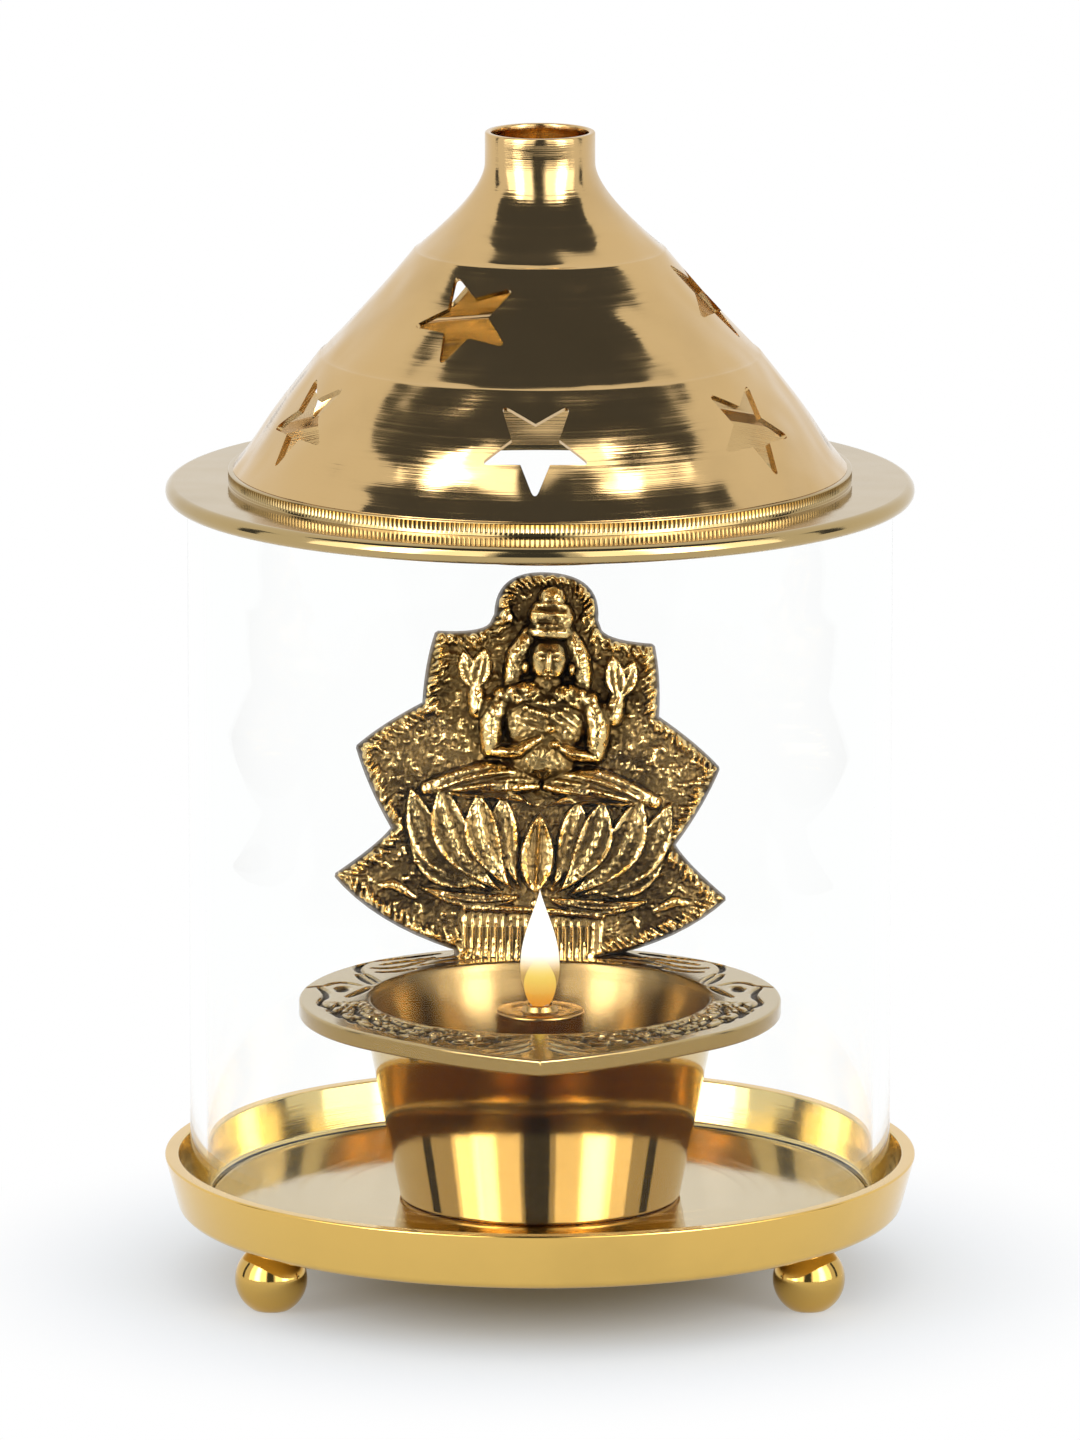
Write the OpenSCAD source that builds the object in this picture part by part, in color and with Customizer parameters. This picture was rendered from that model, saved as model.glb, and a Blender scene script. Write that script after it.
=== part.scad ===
// Akhand diya: a brass oil lamp with a lotus plaque, under a glass chimney and a pierced brass lid.
// Millimetres, +Z up, front towards -Y, origin on the table under the axis of the tray.

/* [Tray] */
// Thickness of the floor of the tray
tray_floor = 1.8; // [1.6:0.1:3]
// Height of the wall above the floor
tray_wall_h = 6.4; // [4:0.1:14]
// Thickness of the wall where it meets the floor
tray_wall = 0.9; // [0.6:0.1:2]
// Width of the flat rim on top of the wall
tray_rim_w = 2; // [1.2:0.1:4]
// How far the inside of the wall leans out between floor and rim
tray_flare = 1.1; // [0.4:0.1:4]
// Radius of the rounded lower edge
tray_round = 1.2; // [0.4:0.1:1.6]

/* [Ball feet] */
// Diameter of a ball
foot_d = 10.3; // [7:0.1:14]
// Height that is cut flat under a ball
foot_flat = 0.7; // [0.1:0.1:1]
// Height of the neck between ball and tray
foot_neck = 0.2; // [0.2:0.1:3]
// Diameter of the neck
foot_neck_d = 6; // [5:0.1:7]
// Distance of a foot from the inside of the glass wall
foot_inset = 3.6; // [3:0.1:20]

/* [Foot screws] */
// Diameter of the screw thread
screw_d = 3; // [2:0.1:3.5]
// Diameter of the countersunk head
screw_head_d = 5.4; // [4:0.1:6]
// Length of the screw under its head
screw_l = 5; // [3:0.1:6.5]
// Clearance round the screw in the floor of the tray
screw_gap = 0.1; // [0.05:0.05:0.3]
// Clearance of the thread in the foot
thread_gap = 0.03; // [0.01:0.01:0.1]

/* [Glass chimney] */
// Outer diameter of the tube
glass_od = 100; // [94:1:120]
// Wall thickness of the tube
glass_wall = 2.4; // [1.5:0.1:4]
// Length of the tube
glass_h = 101.3; // [95:0.1:140]
// Clearance between the tube and the foot of the wall of the tray
glass_gap = 0.6; // [0.3:0.1:2]

/* [Lid brim] */
// Thickness of the brim
brim_t = 2.5; // [1.2:0.1:4]
// How far the brim stands out past the glass
brim_over = 3.1; // [1:0.1:8]
// Height of the collar that carries the cone
collar_h = 1.9; // [1:0.1:5]
// Distance of the collar from the outside of the glass
collar_inset = 5.8; // [5:0.1:10]
// Thickness of the collar
collar_t = 1; // [0.7:0.1:1.5]
// Depth of the register that drops into the glass
register_h = 1; // [0.6:0.1:3]
// Clearance between the register and the glass
register_gap = 0.4; // [0.2:0.1:1]

/* [Lid cone] */
// Thickness of the spun sheet
sheet_t = 0.9; // [0.6:0.1:1.4]
// Width of the ledge that the collar leaves outside the foot of the cone
cone_ledge = 0.6; // [0.2:0.1:0.8]
// Height of the lower band
low_rise = 16.4; // [14:0.1:30]
// Radius at the lower ridge
low_ridge_r = 31.3; // [27:0.1:35]
// Height of the middle band
mid_rise = 14.9; // [12:0.1:26]
// Radius at the upper ridge
high_ridge_r = 17.8; // [15:0.1:21]
// Height of the curved flare
flare_rise = 12.4; // [8:0.1:20]
// Outer radius of the open neck
neck_r = 7.8; // [6:0.1:11]
// Height of the straight neck
neck_h = 4.4; // [2:0.1:12]
// Clearance of the solder joint between cone and collar
solder_gap = 0.05; // [0.02:0.01:0.2]

/* [Stars] */
// Where the stars of the lower band are punched, right of the front
low_star_turns = [-65, -1, 54, 114, 174, 234]; // [-180:1:360]
// Where the stars of the middle band are punched, right of the front
mid_star_turns = [-27, 85, 209]; // [-180:1:360]
// Radius to the tips of a star
star_tip_r = 7.4; // [4:0.1:8]
// Radius to the inner corners of a star
star_in_r = 3.5; // [2:0.1:4]
// Radius of the rounded tips
star_round = 1; // [0.3:0.1:1.4]
// How far the stars sit above the middle of their band
star_up = 1.5; // [0:0.1:2]
// How far the stars of the middle band are tilted in their band
mid_star_tilt = 8; // [0:1:72]

/* [Diya cup] */
// Radius of the base of the cup
cup_base_r = 20; // [14:0.1:22]
// Radius of the cup under its rim
cup_top_r = 25.2; // [23:0.1:28]
// Height of the cup with its rim
cup_h = 28.9; // [22:0.1:40]
// Wall thickness of the cup
cup_wall = 1.3; // [0.8:0.1:3]
// Thickness of the floor of the cup
cup_floor = 2; // [1.2:0.1:4]
// Thickness of the leaf-shaped rim
rim_t = 2.4; // [1.5:0.1:4]
// Radius of the leaf
leaf_r = 34.4; // [33:0.1:38]
// Distance of the pointed tip of the leaf from the axis
leaf_tip = 41.5; // [39:0.1:44]
// Angle to each side of the tip at which the leaf starts to draw out
leaf_tip_angle = 42; // [25:1:60]

/* [Lotus plaque] */
// Thickness of the plate
plate_t = 3; // [2:0.1:4]
// Half width of the flat foot edge
plate_foot = 10.5; // [9.5:0.1:14]
// Place of a lower petal tip, sideways and up
low_tip = [28.9, 9.5]; // [0:0.1:60]
// Place of the notch above it
low_notch = [20.8, 16.8]; // [0:0.1:60]
// Place of a side petal tip
side_tip = [26.7, 28.3]; // [0:0.1:60]
// Place of the notch above it
side_notch = [17.3, 35.2]; // [0:0.1:60]
// Place of a shoulder
shoulder = [16, 45.7]; // [0:0.1:60]
// Half width of the arch
arch_r = 7.6; // [6:0.1:9]
// Height of the top of the arch
plate_h = 55.1; // [52:0.1:60]
// Backward lean of the plate
plate_lean = 12; // [0:1:14]
// Sideways lean of the plate as it was set
plate_roll = 3.5; // [0:0.5:5]
// How far left of the middle of the rim the plate stands
plate_shift = 2; // [0:0.1:3]
// Distance of the back of the plate from the axis, at the rim
plate_y = 30; // [28.5:0.1:31]
// Height of the cast relief over the plate
relief = 2.2; // [1:0.1:3]

/* [Plaque rivets] */
// Diameter of a rivet
rivet_d = 2.2; // [1.6:0.1:2.6]
// Diameter of a rivet head
rivet_head_d = 4.2; // [3.4:0.1:5]
// Height of a rivet head
rivet_head_h = 1.2; // [0.8:0.1:2]
// Distance of a rivet from the middle of the plaque
rivet_x = 7; // [4:0.1:8]
// How far behind the middle of the plate the rivets stand
rivet_back = 0.6; // [0:0.1:1]
// Clearance round a rivet
rivet_gap = 0.04; // [0.02:0.01:0.1]

/* [Wick] */
// Height of the wick holder
holder_h = 25.1; // [18:0.1:34]
// Radius of the round top of the wick holder
holder_top_r = 6.3; // [4:0.1:10]
// Thickness of that top
holder_top_t = 3.4; // [2:0.1:6]
// Radius of the weighted base
holder_base_r = 8; // [6:0.1:12]
// Thickness of the base
holder_base_t = 2; // [1:0.1:4]
// Radius of the stem
stem_r = 3.4; // [3:0.1:5]
// Radius of the nozzle round the wick
nozzle_r = 2.3; // [2.1:0.1:3]
// Height of the nozzle over the top
nozzle_h = 0.8; // [0.3:0.1:3]
// Diameter of the cotton wick
wick_d = 3; // [2:0.1:3.4]
// Length of wick that stands out of the nozzle
wick_out = 3; // [1:0.1:8]
// Height of the lower end of the wick over the floor of the cup
wick_foot = 3; // [0.5:0.1:4]
// Clearance round the wick
wick_gap = 0.2; // [0.1:0.05:0.4]
// Radius of the holes that let oil into the stem
inlet_r = 1; // [0.6:0.1:1.5]

/* [Hidden] */
$fn = 96;
BRASS = "#c9a050";
PALE_BRASS = "#d0b070";
DARK_BRASS = "#8a6f3c";
eps = 0.01;

// Levels, from the table up
foot_h = foot_d - foot_flat + foot_neck;
floor_z = foot_h + tray_floor;
tray_rim_z = floor_z + tray_wall_h;
glass_top = floor_z + glass_h;
brim_top = glass_top + brim_t;
collar_top = brim_top + collar_h;
low_ridge_z = collar_top + low_rise;
high_ridge_z = low_ridge_z + mid_rise;
flare_top = high_ridge_z + flare_rise;
neck_top = flare_top + neck_h;
cup_rim_z = floor_z + cup_h;
cup_floor_z = floor_z + cup_floor;

// Radii that follow from the glass
glass_r = glass_od / 2;
glass_ri = glass_r - glass_wall;
tray_floor_r = glass_r + glass_gap;
tray_inner_r = tray_floor_r + tray_flare;
tray_r = tray_inner_r + tray_rim_w;
foot_circle = glass_ri - foot_inset;
brim_r = glass_r + brim_over;
collar_r = glass_r - collar_inset;
collar_ri = collar_r - collar_t;
skirt_r = collar_ri - solder_gap;
register_r = glass_ri - register_gap;
FEET = [180, 60, -60];

// Points of a quadratic curve from a to c that is drawn towards b
function bend(a, b, c, n = 8) = [for (i = [0 : n])
    let (t = i / n)
    (1 - t) * (1 - t) * a + 2 * t * (1 - t) * b + t * t * c];
function polar(r, a) = r * [cos(a), sin(a)];
function across(point, side) = [side * point.x, point.y];
function mirrored(points) = [for (i = [len(points) - 1 : -1 : 0]) [-points[i].x, points[i].y]];
function reversed(points) = [for (i = [len(points) - 1 : -1 : 0]) points[i]];

// A countersunk screw, head up, with its top at the origin
module screw_shape(gap) {
    head_h = (screw_head_d - screw_d) / 2;
    translate([0, 0, -head_h])
        cylinder(h = head_h, r1 = screw_d / 2 + gap, r2 = screw_head_d / 2 + gap);
    translate([0, 0, -head_h - screw_l])
        cylinder(h = screw_l + eps, r = screw_d / 2 + gap);
}

// A place on the circle of feet, at an angle from the front
module at_foot(angle) {
    rotate([0, 0, angle])
        translate([0, -foot_circle, 0])
            children();
}

// Turned tray with a leaning wall and a flat rim
module tray() {
    low_r = tray_floor_r + tray_wall;
    corner = [for (a = [0 : 15 : 90])
        [low_r - tray_round + tray_round * sin(a), foot_h + tray_round - tray_round * cos(a)]];
    profile = concat(
        [[0, foot_h]],
        corner,
        [[tray_r, tray_rim_z - tray_rim_w / 4], [tray_r - tray_rim_w / 4, tray_rim_z],
         [tray_inner_r, tray_rim_z], [tray_floor_r, floor_z], [0, floor_z]]);
    color(BRASS) difference() {
        rotate_extrude() polygon(profile);
        for (angle = FEET)
            at_foot(angle) translate([0, 0, floor_z + eps]) screw_shape(screw_gap);
    }
}

// Ball foot with a short neck and a tapped hole
module ball_foot(angle) {
    ball_r = foot_d / 2;
    color(BRASS) at_foot(angle) difference() {
        union() {
            translate([0, 0, ball_r - foot_flat]) sphere(r = ball_r);
            translate([0, 0, foot_h / 2]) cylinder(h = foot_h / 2, d = foot_neck_d);
        }
        translate([0, 0, -foot_d]) cylinder(h = foot_d, r = foot_d);
        translate([0, 0, floor_z]) screw_shape(thread_gap);
    }
}
module rear_foot() {
    ball_foot(FEET[0]);
}
module front_right_foot() {
    ball_foot(FEET[1]);
}
module front_left_foot() {
    ball_foot(FEET[2]);
}

module foot_screws() {
    color(PALE_BRASS)
        for (angle = FEET)
            at_foot(angle) translate([0, 0, floor_z]) screw_shape(0);
}

// Plain glass tube, ground flat at both ends
module glass_chimney() {
    color([0.85, 0.92, 0.9, 0.35]) translate([0, 0, floor_z]) difference() {
        cylinder(h = glass_h, r = glass_r);
        translate([0, 0, -eps]) cylinder(h = glass_h + 2 * eps, r = glass_ri);
    }
}

// Turned brim with a rounded edge, a collar for the cone and a register for the glass
module lid_brim() {
    half = brim_t / 2;
    edge = [for (a = [-90 : 15 : 90])
        [brim_r - half + half * cos(a), glass_top + half + half * sin(a)]];
    profile = concat(
        [[collar_ri, glass_top - register_h], [register_r, glass_top - register_h],
         [register_r, glass_top]],
        edge,
        [[collar_r, brim_top], [collar_r, collar_top], [collar_ri, collar_top]]);
    color(BRASS) rotate_extrude() polygon(profile);
}

// Rounded five-pointed star with one tip towards -Y
module star() {
    tip_c = star_tip_r - star_round;
    half_turn = 66;
    polygon([for (i = [0 : 4])
        let (a = 270 + 72 * i)
        each concat(
            [for (t = [-1 : 0.5 : 1]) polar(tip_c, a) + polar(star_round, a + t * half_turn)],
            [polar(star_in_r, a + 36)])]);
}

// Row of stars through the band between two rings of the cone, from [radius, height] to [radius, height]
module star_row(low, high, turns, tilt) {
    run = low.x - high.x;
    rise = high.y - low.y;
    slope = atan2(rise, run);
    middle = (low + high) / 2 + star_up * [-cos(slope), sin(slope)];
    for (turn = turns)
        rotate([0, 0, turn])
            translate([0, -middle.x, middle.y])
                rotate([slope, 0, 0])
                    translate([0, 0, -3 * sheet_t])
                        linear_extrude(4 * sheet_t) rotate(-tilt) star();
}

// Spun cone in two straight bands, with a flare up to an open neck
module lid_cone() {
    foot = [collar_r - cone_ledge, collar_top];
    low_ridge = [low_ridge_r, low_ridge_z];
    high_ridge = [high_ridge_r, high_ridge_z];
    flare_pull = [neck_r, high_ridge_z + flare_rise * 2 / 3];
    level_t = sheet_t / sin(atan2(low_rise, foot.x - low_ridge_r));
    outer = concat([foot, low_ridge], bend(high_ridge, flare_pull, [neck_r, flare_top], 12),
                   [[neck_r, neck_top]]);
    inner = [for (p = outer) if (p != foot) p - [p.y < flare_top ? level_t : sheet_t, 0]];
    skirt = [[skirt_r - sheet_t, collar_top + sheet_t], [skirt_r - sheet_t, glass_top],
             [skirt_r, glass_top], [skirt_r, collar_top]];
    color(BRASS) difference() {
        rotate_extrude() polygon(concat(outer, reversed(inner), skirt));
        star_row(foot, low_ridge, low_star_turns, 0);
        star_row(low_ridge, high_ridge, mid_star_turns, mid_star_tilt);
    }
}

// Radius of the leaf at an angle from its tip
function leaf_at(a) = leaf_r + (leaf_tip - leaf_r) * pow(1 - abs(a) / leaf_tip_angle, 1.7);

// Cast cup with a flat leaf-shaped rim, drawn out to a point at the front
module diya_cup() {
    under_z = cup_rim_z - rim_t;
    tip = [for (i = [-8 : 8])
        let (a = leaf_tip_angle * i / 8)
        leaf_at(a) * [sin(a), -cos(a)]];
    mouth_r = cup_top_r - cup_wall;
    lip = 0.4;
    corner = 2;
    hollow = [[0, cup_floor_z], [cup_base_r - cup_wall - corner, cup_floor_z],
              [cup_base_r - cup_wall, cup_floor_z + corner], [mouth_r, cup_rim_z - 2 * lip],
              [mouth_r + lip, cup_rim_z], [mouth_r + lip, cup_rim_z + lip], [0, cup_rim_z + lip]];
    color(BRASS) difference() {
        union() {
            rotate_extrude() polygon([[0, floor_z], [cup_base_r, floor_z],
                [cup_top_r, under_z], [cup_top_r, cup_rim_z], [0, cup_rim_z]]);
            translate([0, 0, under_z]) cylinder(h = rim_t, r = leaf_r);
            translate([0, 0, under_z]) linear_extrude(rim_t) polygon(concat([[0, 0]], tip));
        }
        rotate_extrude() polygon(hollow);
        at_rivets() translate([0, 0, -rim_t - eps])
            cylinder(h = rim_t + 2 * eps, r = rivet_d / 2 + rivet_gap);
    }
}

// The two rivets of the plaque, with the origin on top of the rim
module at_rivets() {
    rivet_y = plate_y - plate_t / 2 + rivet_back;
    for (side = [-1, 1])
        translate([side * rivet_x - plate_shift, rivet_y, cup_rim_z]) children();
}

module plaque_rivets() {
    head_r = rivet_head_d / 2;
    dome_r = (head_r * head_r + rivet_head_h * rivet_head_h) / (2 * rivet_head_h);
    color(PALE_BRASS) at_rivets() {
        translate([0, 0, -rim_t - eps]) cylinder(h = rim_t + rivet_d, r = rivet_d / 2);
        translate([0, 0, -rim_t]) intersection() {
            translate([0, 0, dome_r - rivet_head_h]) sphere(r = dome_r);
            translate([0, 0, -rivet_head_h]) cylinder(h = rivet_head_h, r = head_r);
        }
    }
}

// Outline of the plate: three tiers of petals and an arch over them.
// The middle point of each bend is where that edge is drawn out to.
module plate_outline() {
    arch_foot = [arch_r + 0.6, shoulder.y + 1.5];
    arch = bend([arch_r, arch_foot.y + 1.4], [arch_r + 0.2, plate_h], [0, plate_h], 12);
    half = concat(
        [[plate_foot, -4]],
        bend([plate_foot, -0.3], [low_tip.x - 6.4, low_tip.y - 6.7], low_tip),
        bend(low_tip, [low_notch.x + 1.8, low_notch.y - 2.6], low_notch),
        bend(low_notch, [side_tip.x - 2, side_tip.y - 5.6], side_tip),
        bend(side_tip, [side_tip.x - 3.5, side_tip.y + 3.4], side_notch),
        bend(side_notch, [side_notch.x, shoulder.y - 4.6], shoulder),
        bend(shoulder, [arch_foot.x + 1.3, shoulder.y], arch_foot),
        [for (p = arch) if (p.x > 0) p]);
    polygon(concat(half, [[0, plate_h]], mirrored(half)));
}

// Pointed petal that grows up from the origin
module petal(length, width, height) {
    right = bend([0, 0], [width * 0.75, length * 0.45], [0, length]);
    linear_extrude(height) polygon(concat(right, mirrored(right)));
}

// Low dome on the face of the plate
module dome(at, r, height) {
    ball_r = (r * r + height * height) / (2 * height);
    translate([at.x, at.y, 0]) intersection() {
        translate([0, 0, height - ball_r]) sphere(r = ball_r, $fn = 64);
        cylinder(h = 2 * height, r = 0.98 * r, $fn = 64);
    }
}

// Rounded limb between two points of the plate, a little thicker at its ends
module limb(from, to, r) {
    reach = to - from;
    end_r = 1.15 * r;
    translate([from.x, from.y, 0]) {
        sphere(r = end_r, $fn = 32);
        rotate([0, 0, atan2(reach.y, reach.x)])
            rotate([0, 90, 0]) cylinder(h = norm(reach), r = r, $fn = 32);
    }
    translate([to.x, to.y, 0]) sphere(r = end_r, $fn = 32);
}

// Seated figure with four arms on a lotus, standing out of the face of the plate
module figure_relief() {
    seat = low_notch.y;
    neck = shoulder.y - 7;
    hip = [1.5, seat + 4.6];
    knee = [9.5, seat + 4.8];
    ankle = [3, seat + 2.4];
    arm_root = [4.4, neck - 2];
    low_elbow = [8, neck - 8.5];
    low_hand = [2, neck - 9.5];
    high_elbow = [9.5, neck - 3];
    high_hand = [10.5, neck + 2];
    arm_r = relief * 0.55;
    head_r = 3.3;
    crown_h = 6;
    halo_r = 5.6;
    fan = 17;
    petal_l = 11.5;
    petal_w = 6;
    for (i = [-4 : 4])
        translate([0, seat / 2, 0]) rotate(-fan * i)
            petal(petal_l + 1.4 * abs(i), petal_w, relief * (1 - 0.14 * abs(i)));
    for (side = [-1, 1]) {
        limb(across(hip, side), across(knee, side), relief);
        limb(across(knee, side), across(ankle, side), relief * 0.9);
        limb(across(arm_root, side), across(low_elbow, side), arm_r);
        limb(across(low_elbow, side), across(low_hand, side), arm_r);
        limb(across(arm_root, side), across(high_elbow, side), arm_r);
        limb(across(high_elbow, side), across(high_hand, side), arm_r);
        dome(across(high_hand, side) + [0, arm_r], 2, relief * 0.9);
        dome(across(arm_root, side), 2.6, relief);
    }
    dome([0, seat + 9], 4.2, relief * 1.1);
    dome([0, neck - 4.5], 5, relief * 1.25);
    translate([0, neck + 2.6, 0]) sphere(r = head_r, $fn = 48);
    translate([0, neck + 4, 0]) rotate([-90, 0, 0])
        cylinder(h = crown_h, r1 = 0.87 * head_r, r2 = 0.27 * head_r, $fn = 48);
    translate([0, neck + head_r, 0]) rotate_extrude() translate([halo_r, 0]) circle(r = 0.7, $fn = 24);
}

// Cast plate with its relief and a foot pad behind it, cut level where it stands on the rim
module lotus_plaque() {
    pad_w = 2 * rivet_x + rivet_head_d;
    pad_d = plate_t + 2;
    pad_y = plate_y - plate_t / 2 + rivet_back - pad_d / 2;
    color(DARK_BRASS) difference() {
        union() {
            translate([-plate_shift, plate_y, cup_rim_z]) rotate([-plate_lean, plate_roll, 0])
                rotate([90, 0, 0]) {
                    linear_extrude(plate_t) plate_outline();
                    translate([0, 0, plate_t - eps]) figure_relief();
                }
            translate([-plate_shift - pad_w / 2, pad_y, cup_rim_z])
                cube([pad_w, pad_d, 2 * rivet_d]);
        }
        translate([-leaf_tip, 0, cup_rim_z - leaf_tip]) cube([2 * leaf_tip, leaf_tip, leaf_tip]);
        at_rivets() translate([0, 0, -eps]) cylinder(h = rivet_d + rivet_gap, r = rivet_d / 2 + rivet_gap);
    }
}

// Turned holder that stands on the floor of the cup and lifts the wick to the height of the rim
module wick_holder() {
    bore_r = wick_d / 2 + wick_gap;
    round = 0.5;
    profile = [
        [bore_r, 0], [holder_base_r, 0], [holder_base_r, holder_base_t - round],
        [holder_base_r - round, holder_base_t], [stem_r, holder_base_t + round],
        [stem_r, holder_h - holder_top_t - round], [holder_top_r - round, holder_h - holder_top_t],
        [holder_top_r, holder_h - holder_top_t + round], [holder_top_r, holder_h - round],
        [holder_top_r - round, holder_h], [nozzle_r + round, holder_h], [nozzle_r, holder_h + round],
        [nozzle_r, holder_h + nozzle_h], [bore_r, holder_h + nozzle_h]];
    color(BRASS) translate([0, 0, cup_floor_z]) difference() {
        rotate_extrude() polygon(profile);
        for (turn = [0, 90])
            rotate([0, 0, turn]) translate([0, 0, holder_base_t + 2 * inlet_r]) rotate([90, 0, 0])
                cylinder(h = 2 * holder_base_r, r = inlet_r, center = true, $fn = 32);
    }
}

// Straight stretch of cotton wick, from the oil holes in the stem to above the nozzle
module cotton_wick() {
    wick_top = holder_h + nozzle_h + wick_out;
    color("ivory") translate([0, 0, cup_floor_z + wick_foot])
        cylinder(h = wick_top - wick_foot, d = wick_d, $fn = 48);
}

tray();
front_left_foot();
front_right_foot();
rear_foot();
foot_screws();
glass_chimney();
lid_brim();
lid_cone();
diya_cup();
lotus_plaque();
plaque_rivets();
wick_holder();
cotton_wick();
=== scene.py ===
# %% [markdown]
# # Akhand diya
# The lamp is a brass cup with a leaf-shaped rim, a cast lotus plaque and a wick holder. It stands on
# a footed tray, under a glass chimney with a pierced brass lid.
# The frame is the measured model of the same lamp. It is loaded first and never changed, and each
# piece below takes its place and its main sizes from it, so that everything meets.

# %% Load the frame
import math

import bmesh
import bpy
import numpy as np
from mathutils import Matrix, Vector, noise


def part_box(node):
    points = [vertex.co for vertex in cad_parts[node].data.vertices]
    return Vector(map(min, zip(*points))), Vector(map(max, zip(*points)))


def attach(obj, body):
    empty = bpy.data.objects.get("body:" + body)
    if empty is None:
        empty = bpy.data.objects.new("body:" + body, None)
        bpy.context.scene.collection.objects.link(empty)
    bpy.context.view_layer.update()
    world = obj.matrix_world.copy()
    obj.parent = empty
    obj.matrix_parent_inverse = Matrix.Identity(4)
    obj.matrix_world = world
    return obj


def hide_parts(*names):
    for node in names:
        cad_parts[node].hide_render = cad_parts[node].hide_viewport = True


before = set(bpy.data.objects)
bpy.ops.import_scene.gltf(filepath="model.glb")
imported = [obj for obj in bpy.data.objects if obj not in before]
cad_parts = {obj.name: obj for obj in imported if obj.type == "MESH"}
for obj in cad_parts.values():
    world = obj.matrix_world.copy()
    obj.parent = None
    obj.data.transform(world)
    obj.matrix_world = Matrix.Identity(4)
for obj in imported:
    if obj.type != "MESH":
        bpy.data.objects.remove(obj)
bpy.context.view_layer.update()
scene = bpy.context.scene
MM = 0.001
TURN = 2 * math.pi


def box_mm(node):
    low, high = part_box(node)
    return low / MM, high / MM


# %% [markdown]
# ## Camera
# The photograph was taken from a few paces away, a little above the lamp, so the uprights stay nearly
# parallel. A long lens far off gives that, where a short one close by would spread the tray. Blender's
# sensor is 36 mm on the long side, which here is the upright one.
# Light goes through glass twice and then back and forth between polished walls. With too few bounces
# the gap between glass and tray would stay black, so more of them are allowed.

# %% Camera
def face(made, target, front="-Z"):
    """Turn an object so that its front points at the target."""
    made.rotation_euler = (Vector(target) - made.location).to_track_quat(front, "Y").to_euler()


camera_data = bpy.data.cameras.new("camera")
camera_data.lens = 349.6
camera = bpy.data.objects.new("camera", camera_data)
scene.collection.objects.link(camera)
camera.location = (0, -1.95, 0.47)
AIM = Vector((0, 0, 0.0807))
face(camera, AIM)
scene.camera = camera
scene.view_settings.view_transform = "Standard"
scene.cycles.max_bounces = 32
scene.cycles.glossy_bounces = 16
scene.cycles.transmission_bounces = 24
print("camera:", round((AIM - camera.location).length, 2), "m away")

# %% [markdown]
# ## Shader sums
# A finish is a small calculation: where on the piece is this point, how rough is it there, which
# colour. Nodes can be added one by one, but sums are easier to read as sums. This class wraps the
# output of a node. Adding or multiplying two of them adds the Math node for it, and `node` adds any
# other node from its type, what goes into its sockets and its settings.

# %% Shader sums
class Link:
    """One output in a node tree."""

    def __init__(self, tree, socket=None):
        self.tree = tree
        self.socket = socket

    def node(self, kind, inputs=None, output=0, **settings):
        made = self.tree.nodes.new(kind)
        for key, value in settings.items():
            setattr(made, key, value)
        for key, value in (inputs or {}).items():
            if isinstance(value, Link):
                self.tree.links.new(value.socket, made.inputs[key])
            else:
                made.inputs[key].default_value = value
        return Link(self.tree, made.outputs[output] if made.outputs else None)

    def sibling(self, output):
        return Link(self.tree, self.socket.node.outputs[output])

    def maths(self, operation, first, second):
        return self.node("ShaderNodeMath", {0: first, 1: second}, operation=operation)

    def __add__(self, term):
        return self.maths("ADD", self, term)

    def __sub__(self, term):
        return self.maths("SUBTRACT", self, term)

    def __rsub__(self, term):
        return self.maths("SUBTRACT", term, self)

    def __mul__(self, factor):
        return self.maths("MULTIPLY", self, factor)

    def __truediv__(self, divisor):
        return self.maths("DIVIDE", self, divisor)

    def __pow__(self, exponent):
        return self.maths("POWER", self, exponent)

    __radd__ = __add__
    __rmul__ = __mul__

    def step(self, low, high):
        """0 below low, 1 above high, smooth between."""
        inputs = {"Value": self, "From Min": low, "From Max": high}
        return self.node("ShaderNodeMapRange", inputs, interpolation_type="SMOOTHSTEP")

    def mix(self, low, high):
        """The colour low where this is 0 and high where it is 1."""
        return self.node("ShaderNodeMix", {0: self, 6: low, 7: high}, 2, data_type="RGBA")

    def noise(self, scale, detail=2.0):
        """Noise that reads this link, a point or a number."""
        inputs = {"Scale": scale, "Detail": detail}
        if self.socket.type == "VECTOR":
            return self.node("ShaderNodeTexNoise", {"Vector": self, **inputs})
        return self.node("ShaderNodeTexNoise", {"W": self, **inputs}, noise_dimensions="1D")

    def bump(self, depth, under=None, strength=1.0):
        """The normal of a surface with this height on it, in millimetres, over another normal."""
        inputs = {"Strength": strength, "Distance": depth * MM, "Height": self}
        if under:
            inputs["Normal"] = under
        return self.node("ShaderNodeBump", inputs)

    def show(self):
        """Make this the surface of its material."""
        self.node("ShaderNodeOutputMaterial", {"Surface": self})


def new_finish(name):
    """An empty material and a link into it."""
    finish = bpy.data.materials.new(name)
    finish.use_nodes = True
    finish.node_tree.nodes.clear()
    return finish, Link(finish.node_tree)


def colour(red, green, blue):
    return (red, green, blue, 1.0)


def round_place(shader):
    """The point on a piece, and in millimetres how far it lies from the axis and how high."""
    place = shader.node("ShaderNodeTexCoord", output="Object")
    x = shader.node("ShaderNodeSeparateXYZ", {0: place})
    y = x.sibling("Y")
    return place, (x * x + y * y) ** 0.5 / MM, x.sibling("Z") / MM


def in_view(shader):
    """1 for what is looked at, straight on, mirrored or through glass, and 0 for stray light."""
    ray = shader.node("ShaderNodeLightPath", output="Is Camera Ray")
    return (ray + ray.sibling("Is Glossy Ray") + ray.sibling("Is Transmission Ray")).step(0, 1)


print("shader sums ready")

# %% [markdown]
# ## Studio
# The lamp stands on a white table before a white wall, so metal that looks back or sideways is pale.
# Polished brass has hardly any colour of its own to show: what it shows is the room. In the
# photograph there are two tall softboxes in front, with a dark gap between them where the camera
# stands, and a dark ceiling above. That is where the bright strips and the dark patches come from.
# The light itself and what the metal mirrors are set apart here. Lamps and a white world light the
# scene, and cards that only reflections can see give the metal its room.

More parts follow.
